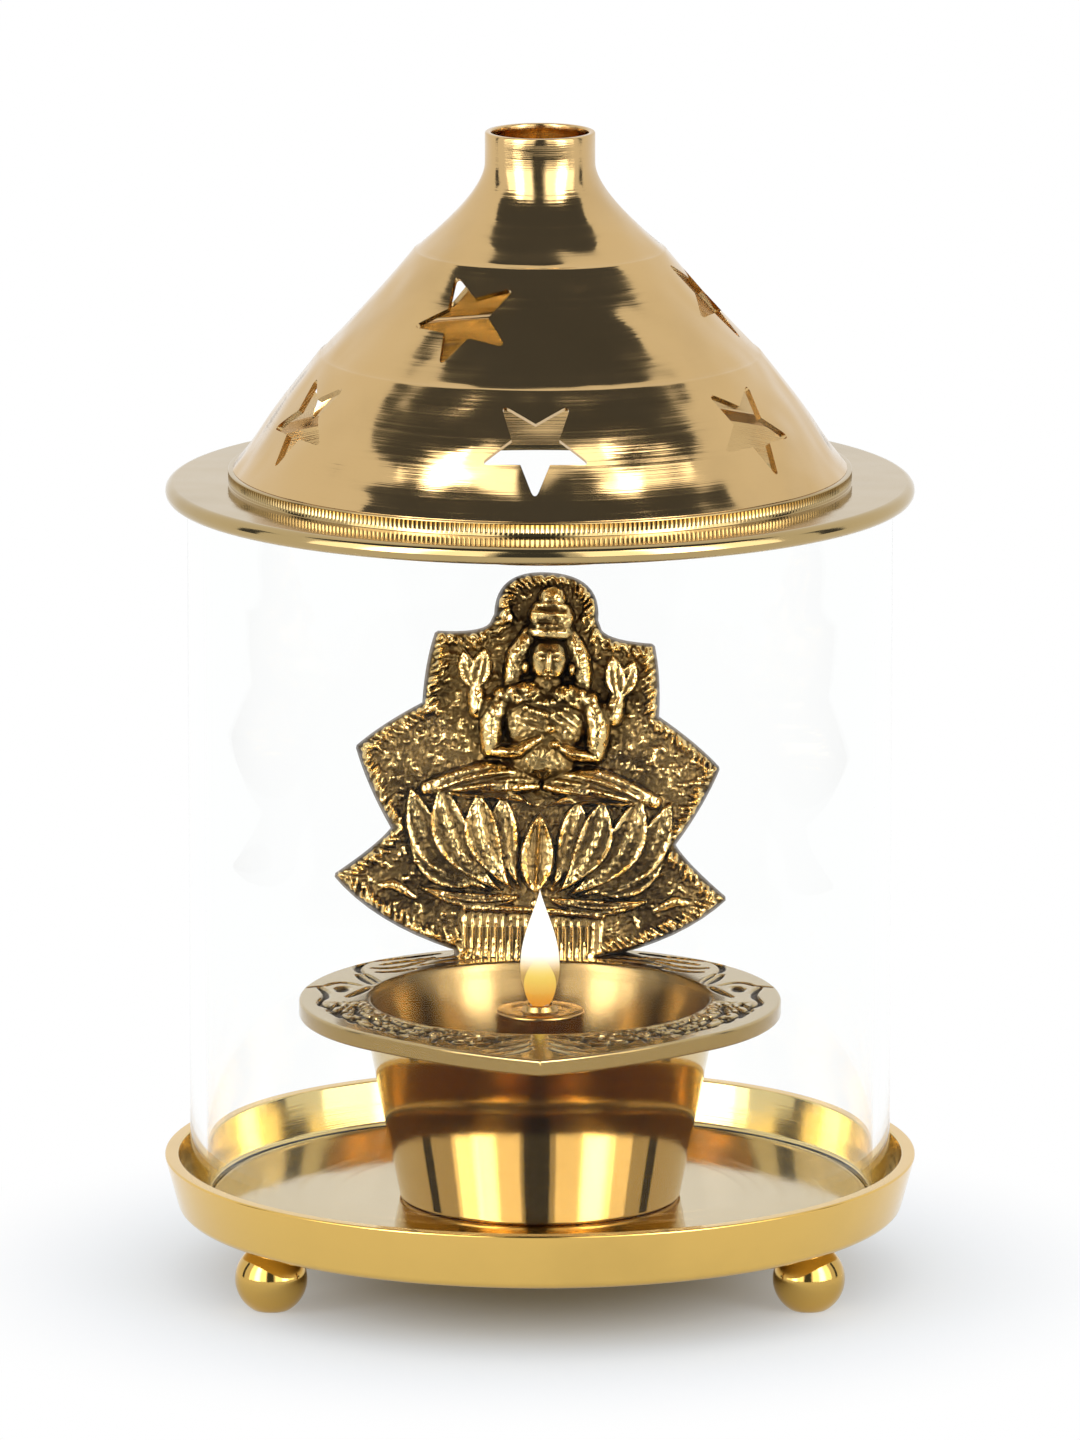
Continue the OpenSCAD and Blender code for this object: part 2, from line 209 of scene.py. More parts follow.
# %% World
world = bpy.data.worlds.new("studio")
scene.world = world
world.use_nodes = True
world.node_tree.nodes.clear()
sky = Link(world.node_tree)
ROOM_LIGHT = 0.72
brightness = ROOM_LIGHT + (1 - ROOM_LIGHT) * in_view(sky)
backdrop = sky.node("ShaderNodeBackground", {"Color": colour(1, 1, 1), "Strength": brightness})
sky.node("ShaderNodeOutputWorld", {"Surface": backdrop})
print("world: white where it is seen,", ROOM_LIGHT, "as light")

# %% Table
PAPER = colour(0.78, 0.87, 0.98)
SHADE_FROM = 12
SHADE_TO = 95
table_finish, paper = new_finish("table_paper")
away = round_place(paper)[1]
matt = paper.node("ShaderNodeBsdfDiffuse", {"Color": PAPER})
white = paper.node("ShaderNodeEmission", {"Strength": 1.0})
share = in_view(paper) * away.step(SHADE_FROM, SHADE_TO)
paper.node("ShaderNodeMixShader", {0: share, 1: matt, 2: white}).show()


def everything(bm):
    return bm.verts[:] + bm.edges[:] + bm.faces[:]


def only_points(geom):
    return [part for part in geom if isinstance(part, bmesh.types.BMVert)]


def open_edges(bm):
    return [edge for edge in bm.edges if edge.is_boundary]


def new_object(name, bm, finish=None):
    """Turn a bmesh into an object in the scene."""
    mesh = bpy.data.meshes.new(name)
    bm.to_mesh(mesh)
    bm.free()
    if finish:
        mesh.materials.append(finish)
    made = bpy.data.objects.new(name, mesh)
    scene.collection.objects.link(made)
    return made


def sheet(name, width, depth, finish):
    """A flat sheet that belongs to the studio."""
    bm = bmesh.new()
    bmesh.ops.create_grid(bm, x_segments=1, y_segments=1, size=0.5)
    bmesh.ops.scale(bm, vec=(width, depth, 1), verts=bm.verts)
    made = new_object(name, bm, finish)
    return made


table = sheet("table", 8, 8, table_finish)
print("table:", table.dimensions[0], "m wide")


# %% Lamps
def softbox(name, width, height, glow, place):
    """An area lamp that faces the middle of the diya and stays out of reflections."""
    data = bpy.data.lights.new(name, "AREA")
    data.shape = "RECTANGLE"
    data.size = width
    data.size_y = height
    data.energy = glow * math.pi * width * height
    lamp = bpy.data.objects.new(name, data)
    scene.collection.objects.link(lamp)
    lamp.location = place
    face(lamp, (0, 0, 0.08))
    lamp.visible_glossy = False


softbox("right_softbox", 0.5, 0.75, 2.6, (0.85, -0.75, 0.42))
softbox("left_softbox", 0.36, 0.75, 2.6, (-0.95, -0.55, 0.42))
softbox("top_softbox", 0.4, 0.4, 1.5, (0, 0.05, 1.1))


# %% Reflection cards
SOFTBOX_TINT = colour(1.0, 0.98, 0.95)
DARK_TINT = colour(0.92, 1.0, 1.2)
DARK = 0.095


def card_light(name, tint, glow, hot=0.0, width=1.0):
    """Light for a card, which is clear unless it is mirrored. A hot one is brighter along its middle."""
    finish, shader = new_finish(name)
    place = shader.node("ShaderNodeTexCoord", output="Object")
    side = shader.node("ShaderNodeSeparateXYZ", {0: place})
    middle = 1 - (side * side).step(0, (width / 5) ** 2)
    edge_light = shader.node("ShaderNodeEmission", {"Color": tint, "Strength": glow})
    hot_light = shader.node("ShaderNodeEmission", {"Color": tint, "Strength": glow + hot})
    light = shader.node("ShaderNodeMixShader", {0: middle, 1: edge_light, 2: hot_light})
    mirrored = shader.node("ShaderNodeLightPath", output="Glossy Depth").step(0, 1)
    nothing = shader.node("ShaderNodeBsdfTransparent")
    shader.node("ShaderNodeMixShader", {0: mirrored, 1: nothing, 2: light}).show()
    return finish


def only_mirrored(made):
    """A card shows in reflections and in nothing else."""
    made.visible_camera = False
    made.visible_diffuse = False
    made.visible_shadow = False


def card(name, width, height, place, finish, target=None):
    """A card that faces the axis of the lamp at its own height, or another target."""
    made = sheet(name, width, height, finish)
    made.location = place
    face(made, target or (0, 0, place[2]), "Z")
    only_mirrored(made)


dark_cloth = card_light("dark_cloth", DARK_TINT, DARK)
PANEL_H = 2.1
PANEL_Z = 1.07
PANEL_OUT = 0.84
PANEL_GLOW = 2.8
PANEL_HOT = 7
for side, to_right, width in (("right", 1, 1.5), ("left", -1, 1.3)):
    panel_light = card_light(side + "_light", SOFTBOX_TINT, PANEL_GLOW, PANEL_HOT, width)
    card(side + "_panel", width, PANEL_H, (to_right * PANEL_OUT, -PANEL_OUT, PANEL_Z), panel_light)
    card(side + "_dark_card", 0.22, 0.9, (to_right * 1.3, 0.2, 0.4), dark_cloth)
card("gap_card", 0.56, 3.0, (-0.07, -1.5, 1.5), dark_cloth)
card("front_card", 3.0, 2.2, (0, -1.52, 0.003), dark_cloth, (0, -1.52, 1))

# %% Dark ceiling
ceiling_bm = bmesh.new()
bmesh.ops.create_circle(ceiling_bm, cap_ends=True, segments=64, radius=1.0)
bmesh.ops.scale(ceiling_bm, vec=(1.46, 0.73, 1), verts=ceiling_bm.verts)
bmesh.ops.bisect_plane(ceiling_bm, geom=everything(ceiling_bm), plane_co=(0, 0.22, 0),
                       plane_no=(0, 1, 0), clear_outer=True)
bmesh.ops.translate(ceiling_bm, vec=(0, -0.065, 1.42), verts=ceiling_bm.verts)
ceiling = new_object("ceiling_card", ceiling_bm, dark_cloth)
only_mirrored(ceiling)
print("ceiling:", len(ceiling.data.vertices), "points")

# %% [markdown]
# ## Brass finishes
# All the metal is brass, finished in different ways. A turned or spun piece keeps fine circular lines
# from the lathe, a cast one is duller with dark cuts, and the plaque was blackened and rubbed back.
# The lines run round the axis, so they depend only on how far out and how high a point is. One
# number made from both, read by a noise, gives rings on flat floors and on walls alike.

# %% Turned and spun brass
GOLD_BRASS = colour(0.74, 0.48, 0.13)
PALE_BRASS = colour(0.625, 0.425, 0.19)
BRIM_BRASS = colour(0.46, 0.335, 0.15)
CAST_BRASS = colour(0.65, 0.495, 0.255)
HEIGHT_SHARE = 1.31


def brass(shader, tint, rough, normal):
    """Bare metal as the surface of a material."""
    shader.node("ShaderNodeBsdfPrincipled", {
        "Base Color": tint, "Metallic": 1.0, "Roughness": rough, "Normal": normal}).show()


def turned_brass(name, metal, roughness, line_depth, wave, stain=0.35, zones=()):
    """Brass with lathe lines and shallow dents. A zone is another brass within a radius, above a height."""
    finish, shader = new_finish(name)
    place, out, up = round_place(shader)
    along = out + up * HEIGHT_SHARE
    fine = along.noise(4.2, 3.0)
    broad = along.noise(0.55, 2.0)
    cloud = place.noise(55.0, 4.0)
    dents = place.noise(90.0, 1.0)
    patch = cloud.step(0.45, 0.8) * stain
    tint = patch.mix(metal, colour(*(0.72 * part for part in metal[:3])))
    for radius, height, other in zones:
        inside = (1 - out.step(radius - 0.2, radius)) * up.step(height - 0.4, height - 0.2)
        tint = inside.mix(tint, other)
    rough = roughness + fine.step(0.4, 0.8) * 0.06 + broad.step(0.45, 0.75) * 0.05 + patch * 0.1
    brass(shader, tint, rough, (fine + broad).bump(line_depth, dents.bump(wave)))
    return finish


lid_brass = turned_brass("spun_brass", PALE_BRASS, 0.09, 0.014, 1.0)
brim_brass = turned_brass("brim_brass", BRIM_BRASS, 0.07, 0.005, 0.12)
print("finishes:", lid_brass.name, brim_brass.name)

# %% [markdown]
# ## Turned pieces
# Tray, feet, glass, lid, cup and wick holder are all round. On a lathe such a piece is its outline
# turned about an axis, and the spin operator does the same: a few corners are joined to an outline,
# the corners are rounded with a bevel, and the outline is spun. Modelling each from a cylinder would
# take more cuts, and would leave the sharp edges that no polished piece has.

# %% Outline and spin
def outline_wire(corners, longest=None):
    """An upright outline from corners of (radius, height, rounding). Long edges are divided on request."""
    bm = bmesh.new()
    points = [bm.verts.new((radius, 0, height)) for radius, height, _ in corners]
    for start, end in zip(points, points[1:] + points[:1]):
        if start.co.x > 0 or end.co.x > 0:
            bm.edges.new((start, end))
    for point, (_, _, rounding) in zip(points, corners):
        if rounding:
            bmesh.ops.bevel(bm, geom=[point], offset=rounding, affect="VERTICES",
                            segments=4, profile=0.5, material=-1)
    if longest:
        for edge in bm.edges[:]:
            parts = int(edge.calc_length() / longest)
            if parts:
                bmesh.ops.subdivide_edges(bm, edges=[edge], cuts=parts)
    return bm


SECTORS = 16


def spun(bm, steps):
    """Spin an outline about the upright axis: one sector in steps, then copies of it."""
    sector = TURN / SECTORS
    centre = {"cent": (0, 0, 0), "axis": (0, 0, 1)}
    bmesh.ops.spin(bm, geom=everything(bm), angle=sector, steps=steps // SECTORS, **centre)
    bmesh.ops.spin(bm, geom=everything(bm), angle=TURN - sector, steps=SECTORS - 1,
                   use_duplicate=True, **centre)
    bmesh.ops.remove_doubles(bm, verts=bm.verts, dist=0.002)
    bmesh.ops.recalc_face_normals(bm, faces=bm.faces)
    return bm


def piece(name, bm, body, finish, nodes=(), sharp=35):
    """Make an object from a bmesh in millimetres and let it ride on its body."""
    bmesh.ops.scale(bm, vec=(MM, MM, MM), verts=bm.verts)
    made = new_object(name, bm, finish)
    mesh = made.data
    mesh.shade_smooth()
    mesh.set_sharp_from_angle(angle=math.radians(sharp))
    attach(made, body)
    if nodes:
        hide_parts(*nodes)
    even = made.modifiers.new("even_normals", "WEIGHTED_NORMAL")
    even.keep_sharp = True
    print(name, "faces:", len(mesh.polygons))
    return made


def carved(bm, cutter):
    """Cut one bmesh out of another."""
    block = new_object("block", bm)
    blade = new_object("blade", cutter)
    knife = block.modifiers.new("knife", "BOOLEAN")
    knife.object = blade
    knife.solver = "EXACT"
    result = bmesh.new()
    result.from_object(block, bpy.context.evaluated_depsgraph_get())
    bpy.data.objects.remove(block)
    bpy.data.objects.remove(blade)
    return result


def dress(node, finish):
    """Give a piece of the frame its finish and leave its shape alone."""
    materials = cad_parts[node].data.materials
    materials.clear()
    materials.append(finish)


print("spin:", SECTORS, "sectors")

# %% [markdown]
# ## Tray and feet
# The tray is turned from a thick disc, with a wall that leans out to a flat, bright rim. Three ball
# feet are screwed on from above. The screw heads are filed flush, so the floor is cut for them with
# hardly any gap. The heads themselves stay as they are in the frame and only get their finish.

# %% Tray
tray_low, tray_high = box_mm("tray")
cup_low, cup_high = box_mm("diya_cup")
FLOOR = cup_low.z
UNDER = tray_low.z
RIM = tray_high.z
TRAY_R = tray_high.x
RIM_WIDTH = 2.0
WALL_LEAN = 1.1
WALL = 0.9
rim_inner = TRAY_R - RIM_WIDTH
floor_r = rim_inner - WALL_LEAN
tray_outline = [
    (0, UNDER, 0), (floor_r + WALL, UNDER, 1.2), (TRAY_R, RIM, 0.35), (rim_inner, RIM, 0.25),
    (floor_r, FLOOR, 0.5), (0, FLOOR, 0)]
WALL_BRASS = colour(0.68, 0.53, 0.235)
FLOOR_BRASS = colour(0.56, 0.425, 0.21)
tray_zones = [(TRAY_R - 1.8, FLOOR, WALL_BRASS), (TRAY_R - 3.3, FLOOR, FLOOR_BRASS)]
tray_brass = turned_brass("turned_brass", GOLD_BRASS, 0.06, 0.003, 0.05, 0.35, tray_zones)
tray_bm = spun(outline_wire(tray_outline), 320)
SCREW_R = 2.7
SINK_R = SCREW_R + 0.02
SINK_DEPTH = 3.2
OVER = 0.5
FOOT_CIRCLE = box_mm("foot_screws")[1].y - SCREW_R
FOOT_TURNS = {"rear_foot": 180, "front_right_foot": 60, "front_left_foot": -60}


def at_foot(turn):
    """From the front of the foot circle round to one foot."""
    return Matrix.Rotation(math.radians(turn), 4, "Z") @ Matrix.Translation((0, -FOOT_CIRCLE, 0))


sinks = bmesh.new()
for turn in FOOT_TURNS.values():
    seat = at_foot(turn) @ Matrix.Translation((0, 0, FLOOR + OVER - SINK_DEPTH / 2))
    bmesh.ops.create_cone(sinks, cap_ends=True, segments=48, radius1=SINK_R + OVER - SINK_DEPTH,
                          radius2=SINK_R + OVER, depth=SINK_DEPTH, matrix=seat)
tray_bm = carved(tray_bm, sinks)
piece("tray_turned", tray_bm, "base", tray_brass, ["tray"])
dress("foot_screws", tray_brass)

# %% Ball feet
foot_brass = turned_brass("ball_brass", colour(0.60, 0.38, 0.10), 0.05, 0.0015, 0.05, 0.5)
foot_low, foot_high = box_mm("rear_foot")
BALL_R = (foot_high.x - foot_low.x) / 2
BALL_CENTRE = BALL_R - 0.7
NECK_R = 3.0
arc = np.linspace(-math.asin(BALL_CENTRE / BALL_R), math.acos(NECK_R / BALL_R), 29)
ball = [(BALL_R * math.cos(a), BALL_CENTRE + BALL_R * math.sin(a), 0) for a in arc]
foot_outline = [(0, 0, 0), *ball, (NECK_R, foot_high.z, 0), (0, foot_high.z, 0)]
for foot, turn in FOOT_TURNS.items():
    foot_bm = spun(outline_wire(foot_outline), 80)
    bmesh.ops.transform(foot_bm, matrix=at_foot(turn), verts=foot_bm.verts)
    piece(foot + "_ball", foot_bm, "base", foot_brass, [foot])

# %% [markdown]
# ## Glass chimney
# The chimney is a length of clear tube, ground at both ends. It could be a single surface, but glass
# needs its wall: light bends going in and coming out, and that is what draws the fine grey lines down
# its two sides. It is left 0.02 mm clear of what it stands on, because touching faces would flicker.

# %% Glass
glass_low, glass_high = box_mm("glass_chimney")
GLASS_R = glass_high.x
GLASS_WALL = 2.4
CLEAR = 0.02
glass_finish, shader = new_finish("chimney_glass")
shader.node("ShaderNodeBsdfPrincipled", {
    "Base Color": colour(0.995, 1.0, 0.998), "Roughness": 0.0, "IOR": 1.16, "Specular IOR Level": 0.5,
    "Transmission Weight": 1.0}).show()
inner = GLASS_R - GLASS_WALL
glass_outline = [
    (GLASS_R, glass_low.z + CLEAR, 0.5), (GLASS_R, glass_high.z - CLEAR, 0.5),
    (inner, glass_high.z - CLEAR, 0.5), (inner, glass_low.z + CLEAR, 0.5)]
glass_bm = spun(outline_wire(glass_outline), 384)
piece("glass_tube", glass_bm, "chimney", glass_finish, ["glass_chimney"])

# %% [markdown]
# ## Lid
# The brim is turned: a flat flange with a round edge and a low collar, which a knurling wheel has
# marked with fine upright teeth. The cone is spun from sheet in two bands and a flare, and soldered
# into the collar. For the teeth the brim is spun in four steps to each tooth, and the points of the
# collar's band are pushed in and out. Stars are cut through the cone with a Boolean, as a punch does.

# %% Lid brim
brim_low, brim_high = box_mm("lid_brim")
cone_low, cone_high = box_mm("lid_cone")
BRIM_R = brim_high.x
COLLAR_TOP = brim_high.z
CONE_R = cone_high.x
COLLAR_R = CONE_R + 0.6
BRIM_TOP = COLLAR_TOP - 1.9
REGISTER_R = inner - 0.4
SHEET = 0.9
collar_inner = COLLAR_R - 1.0
TEETH = 396
TOOTH_DEPTH = 0.16
TOOTH_LOW = BRIM_TOP + 0.55
TOOTH_HIGH = BRIM_TOP + 1.6
brim_outline = [
    (collar_inner, brim_low.z, 0.1), (REGISTER_R, brim_low.z, 0.2), (REGISTER_R, glass_high.z, 0.1),
    (BRIM_R, glass_high.z, 1.2), (BRIM_R, BRIM_TOP, 1.2), (COLLAR_R, BRIM_TOP, 0.1),
    (COLLAR_R, TOOTH_LOW - 0.1, 0), (COLLAR_R, TOOTH_LOW, 0), (COLLAR_R, TOOTH_HIGH, 0),
    (COLLAR_R, TOOTH_HIGH + 0.1, 0), (COLLAR_R, COLLAR_TOP, 0.15), (collar_inner, COLLAR_TOP, 0)]
brim_bm = spun(outline_wire(brim_outline), 4 * TEETH)
for point in brim_bm.verts:
    if TOOTH_LOW - 0.01 < point.co.z < TOOTH_HIGH + 0.01 and point.co.xy.length > COLLAR_R - 0.01:
        wave = math.cos(TEETH * math.atan2(point.co.y, point.co.x))
        point.co.xy *= 1 - TOOTH_DEPTH * (0.5 - 0.5 * wave) / COLLAR_R
piece("lid_brim_turned", brim_bm, "lid", brim_brass, ["lid_brim"])


# %% Lid cone
def curve(start, pull, end, parts):
    """Points of a quadratic curve that is drawn towards its middle point."""
    t = np.linspace(0, 1, parts + 1)[:, None]
    return (1 - t) ** 2 * np.array(start) + 2 * t * (1 - t) * np.array(pull) + t * t * np.array(end)


LOW_RIDGE = (31.3, COLLAR_TOP + 16.4)
HIGH_RIDGE = (17.8, COLLAR_TOP + 31.3)
NECK_TOP = cone_high.z
NECK_R_TOP = 7.8
NECK_FOOT = NECK_TOP - 4.4
RIDGE_ROUND = 0.2
LEDGE = np.array((-0.35, 0.14))
LEVEL = SHEET / math.sin(math.atan2(LOW_RIDGE[1] - COLLAR_TOP, CONE_R - LOW_RIDGE[0]))
mid_band = curve(LOW_RIDGE + LEDGE, (HIGH_RIDGE[0] + 4.8, HIGH_RIDGE[1] - 6.1), HIGH_RIDGE, 10)
flare = curve(HIGH_RIDGE + LEDGE, (NECK_R_TOP, HIGH_RIDGE[1] + 8.3), (NECK_R_TOP, NECK_FOOT), 20)
outer = [
    (CONE_R, COLLAR_TOP, 0.12), (CONE_R - 2.5, COLLAR_TOP + 3.0, 1.6),
    (CONE_R - 5.9, COLLAR_TOP + 8.2, 2.4), (*LOW_RIDGE, RIDGE_ROUND),
    *((*point, 0) for point in mid_band[:-1]), (*HIGH_RIDGE, RIDGE_ROUND),
    *((*point, 0) for point in flare), (NECK_R_TOP, NECK_TOP, 0.3)]
lining = [(r - (LEVEL if z < NECK_FOOT else SHEET), z, min(rounding, 0.3)) for r, z, rounding in outer[1:]]
skirt_r = collar_inner - 0.05
skirt = [(skirt_r - SHEET, COLLAR_TOP + SHEET, 0), (skirt_r - SHEET, cone_low.z, 0.1),
         (skirt_r, cone_low.z, 0.1), (skirt_r, COLLAR_TOP, 0)]
cone_bm = spun(outline_wire(outer + lining[::-1] + skirt, 0.8), 400)
STAR_TIP = 8.4
STAR_INNER = 3.5
STAR_ROUND = 1.5
STAR_UP = 1.5
LOW_STARS = (-65, -1, 54, 114, 174, 234)
MID_STARS = (-27, 85, 209)


def star_punch(low, high, tilt):
    """A star-shaped punch, square on to the front of the band between two rings of the cone."""
    bm = bmesh.new()
    rim = bmesh.ops.create_circle(bm, cap_ends=True, segments=10, radius=STAR_TIP)["verts"]
    bmesh.ops.scale(bm, vec=(STAR_INNER / STAR_TIP,) * 3, verts=rim[1::2])
    bmesh.ops.bevel(bm, geom=rim[0::2], offset=STAR_ROUND, affect="VERTICES", segments=6,
                    profile=0.5, material=-1)
    top = bmesh.ops.extrude_face_region(bm, geom=bm.faces[:])["geom"]
    bmesh.ops.translate(bm, vec=(0, 0, 5), verts=only_points(top))
    bmesh.ops.translate(bm, vec=(0, 0, -3), verts=bm.verts)
    slope = math.atan2(high[1] - low[1], low[0] - high[0])
    middle_r = (low[0] + high[0]) / 2 - STAR_UP * math.cos(slope)
    middle_z = (low[1] + high[1]) / 2 + STAR_UP * math.sin(slope)
    place = Matrix.Translation((0, -middle_r, middle_z)) @ Matrix.Rotation(slope, 4, "X")
    place @= Matrix.Rotation(math.pi - math.radians(tilt), 4, "Z")
    bmesh.ops.transform(bm, matrix=place, verts=bm.verts)
    return bm


def punched(bm, punch, turns):
    """Cut a punch at several turns round the axis, in degrees to the right of the front."""
    parts = everything(punch)
    for turn in turns:
        made = only_points(bmesh.ops.duplicate(punch, geom=parts)["geom"])
        about = Matrix.Rotation(math.radians(turn), 3, "Z")
        bmesh.ops.rotate(punch, cent=(0, 0, 0), matrix=about, verts=made)
    bmesh.ops.delete(punch, geom=parts, context="VERTS")
    bmesh.ops.recalc_face_normals(punch, faces=punch.faces)
    return carved(bm, punch)


cone_bm = punched(cone_bm, star_punch((CONE_R, COLLAR_TOP), LOW_RIDGE, 0), LOW_STARS)
cone_bm = punched(cone_bm, star_punch(LOW_RIDGE, HIGH_RIDGE, 8), MID_STARS)
piece("lid_cone_spun", cone_bm, "lid", lid_brass, ["lid_cone"])

# %% [markdown]
# ## Diya cup
# The cup is cast and then turned, and its flat rim is drawn out to a point like a leaf. Spinning the
# outline gives a round rim, so the rim's points are then pushed out to the leaf's edge: each keeps its
# share of the way from mouth to edge. The leaf sprays on it are chiselled strokes, deep and broad in
# the middle and thin at the ends, with restless tooling between them towards the front. A stroke is a
# curve from one (degrees from the tip, radius) to another, drawn towards a third. All are cut as real
# grooves, and each point remembers how deep it lies, so that the finish can leave dirt in the cuts.

# %% Leaf rim
CUP_RIM = cup_high.z
RIM_T = 2.4
UNDER_RIM = CUP_RIM - RIM_T
BASE_R = 20.0
CUP_R = 25.2
CUP_WALL = 1.3
CUP_FLOOR = FLOOR + 2.0
MOUTH_R = CUP_R - CUP_WALL + 0.4
LEAF_R = cup_high.x
LEAF_TIP = -cup_low.y
TIP_ANGLE = 42.0
cup_outline = [
    (0, FLOOR, 0), (BASE_R, FLOOR, 0.6), (CUP_R, UNDER_RIM, 0.3), (LEAF_R, UNDER_RIM, 0.35),
    (LEAF_R, CUP_RIM, 0.35), (MOUTH_R, CUP_RIM, 0.35), (CUP_R - CUP_WALL, CUP_RIM - 0.9, 0.3),
    (BASE_R - CUP_WALL, CUP_FLOOR, 2.0), (0, CUP_FLOOR, 0)]
cup_bm = outline_wire(cup_outline)
top_edges = [e for e in cup_bm.edges if min(end.co.z for end in e.verts) > CUP_RIM - 0.001]
bmesh.ops.subdivide_edges(cup_bm, edges=[max(top_edges, key=lambda e: e.calc_length())], cuts=44)
spun(cup_bm, 896)


def leaf_edge(angle):
    """Radius of the leaf's edge at an angle in degrees from its tip."""
    draw = max(0.0, 1 - abs(angle) / TIP_ANGLE)
    return LEAF_R + (LEAF_TIP - LEAF_R) * draw ** 1.7


for point in cup_bm.verts:
    radius = point.co.xy.length
    if radius > CUP_R and point.co.z > UNDER_RIM - 0.001:
        angle = math.degrees(math.atan2(point.co.x, -point.co.y))
        share = (radius - CUP_R) / (LEAF_R - CUP_R)
        point.co.xy *= (CUP_R + share * (leaf_edge(angle) - CUP_R)) / radius
print("rim:", len(cup_bm.verts), "points")

# %% Engraving
def to_segment(x, y, start, end):
    """How far along a segment, from 0 to 1, each point has its nearest place, and how far off that is."""
    (ax, ay), (bx, by) = start, end
    share = np.clip(((x - ax) * (bx - ax) + (y - ay) * (by - ay)) / math.dist(start, end) ** 2, 0, 1)
    return share, np.hypot(x - ax - share * (bx - ax), y - ay - share * (by - ay))


CUT_DEPTH = 0.5
STROKE = 0.5
FAN = [
    ((24.5, 26.7), (31, 28.0), (27, 33.0), 1.2), ((17.4, 30.8), (11.2, 29.2), (2.9, 26.4), 1.3),
    ((14.5, 36.0), (8.5, 31.8), (2.7, 28.4), 1.3), ((21, 29.6), (13, 27.2), (3.2, 25.2), 1.1),
    ((11, 37.4), (6.5, 34.2), (2.4, 30.6), 1.2), ((7.5, 38.6), (4.6, 36.6), (2.0, 33.4), 1.1),
    ((24, 34.2), (17, 33.4), (10.5, 30.4), 1.0)]
FEATHER = [
    ((29, 26.0), (42, 28.6), (55, 26.0), 1.2), ((31, 29.4), (44, 30.6), (58, 28.4), 1.1),
    ((36, 32.0), (50, 30.4), (62, 31.0), 1.0), ((52, 26.8), (63, 29.4), (76, 26.8), 1.2),
    ((58, 30.2), (66, 31.8), (74, 29.4), 1.1), ((34, 26.2), (37, 28.0), (34, 30.6), 1.2),
    ((43, 26.0), (41, 28.4), (46, 30.8), 1.2), ((50, 27.6), (53, 29.4), (50, 31.6), 1.1),
    ((61, 26.0), (59, 28.2), (64, 31.0), 1.2), ((70, 26.4), (68, 28.6), (72, 31.4), 1.0)]
EYE = [
    ((101, 32.2), (93, 29.4), (85, 31.4), 1.4), ((85, 31.4), (78, 32.2), (77.6, 30.0), 1.3),
    ((77.6, 30.0), (79, 28.8), (82, 29.1), 1.1), ((97.5, 28.7), (100.3, 28.9), (103, 28.8), 2.6),
    ((100.6, 34.0), (102, 32.8), (103.5, 31.6), 0.7), ((103.5, 31.6), (112, 30.6), (106, 26.9), 1.2),
    ((89.8, 27.4), (95.4, 25.8), (104.6, 25.2), 1.4), ((119, 30.0), (113, 27.0), (109.3, 25.5), 1.5),
    ((121, 29.4), (117, 26.6), (112.5, 25.2), 1.0)]
BACK = [
    ((121.8, 30.3), (128, 34.6), (134, 34.0), 1.4), ((134, 34.0), (143, 31.8), (153.3, 32.5), 1.2),
    ((128.4, 30.9), (130, 27.0), (144.4, 29.0), 1.3), ((133.1, 31.3), (141, 30.2), (149.4, 30.4), 1.4),
    ((125, 28.6), (127, 26.2), (136, 26.0), 1.2), ((140, 27.2), (150, 27.6), (160, 26.4), 1.0),
    ((146, 29.4), (154, 29.8), (163, 28.6), 1.0)]
strokes = FAN + FEATHER + EYE + BACK
cut_layer = cup_bm.verts.layers.float.new("cut")
rim_points = [v for v in cup_bm.verts if v.co.z > CUP_RIM - 0.001 and v.co.xy.length > MOUTH_R + 0.4]
place = np.array([v.co for v in rim_points])
angles = np.abs(np.arctan2(place[:, 0], -place[:, 1]))
radii = np.hypot(place[:, 0], place[:, 1])
MID_R = (MOUTH_R + LEAF_R) / 2
way = angles * MID_R
cuts = np.zeros(len(rim_points))
STEPS = 5
for *stroke, weight in strokes:
    bent = curve(*[(math.radians(degrees) * MID_R, radius) for degrees, radius in stroke], STEPS)
    for i, ends in enumerate(zip(bent, bent[1:])):
        share, apart = to_segment(way, radii, *ends)
        width = STROKE * weight * np.sqrt(np.sin(np.pi * (0.12 + 0.76 * (i + share) / STEPS)))
        cuts = np.maximum(cuts, np.clip(1.3 - 1.3 * apart / width, 0, 1))
edge_r = np.array([leaf_edge(turn) for turn in np.degrees(angles)])
share = (radii - MOUTH_R) / (edge_r - MOUTH_R)
tooling = np.clip(np.minimum(share - 0.06, 0.74 - share) / 0.06, 0, 1)
tooling *= np.clip(np.minimum(np.degrees(angles) - 5, 84 - np.degrees(angles)) / 6, 0, 1)
grain = np.array([noise.noise((turn * 0.45, radius * 0.75, 2.0)) for turn, radius in zip(way, radii)])
cuts = np.maximum(cuts, 0.8 * tooling * np.clip(1.4 - np.abs(grain) / 0.13, 0, 1))
for point, cut in zip(rim_points, cuts):
    point.co.z -= CUT_DEPTH * cut
    point[cut_layer] = cut
print("engraving:", len(strokes), "strokes on each side")

# %% [markdown]
# The finish of the cup starts like the turned brass. Where the attribute says that a point lies in a
# cut, the brass gives way to the dark, rough dirt that polish leaves behind. The inside is not
# polished again after use, so oil and heat have turned it a dull brown.

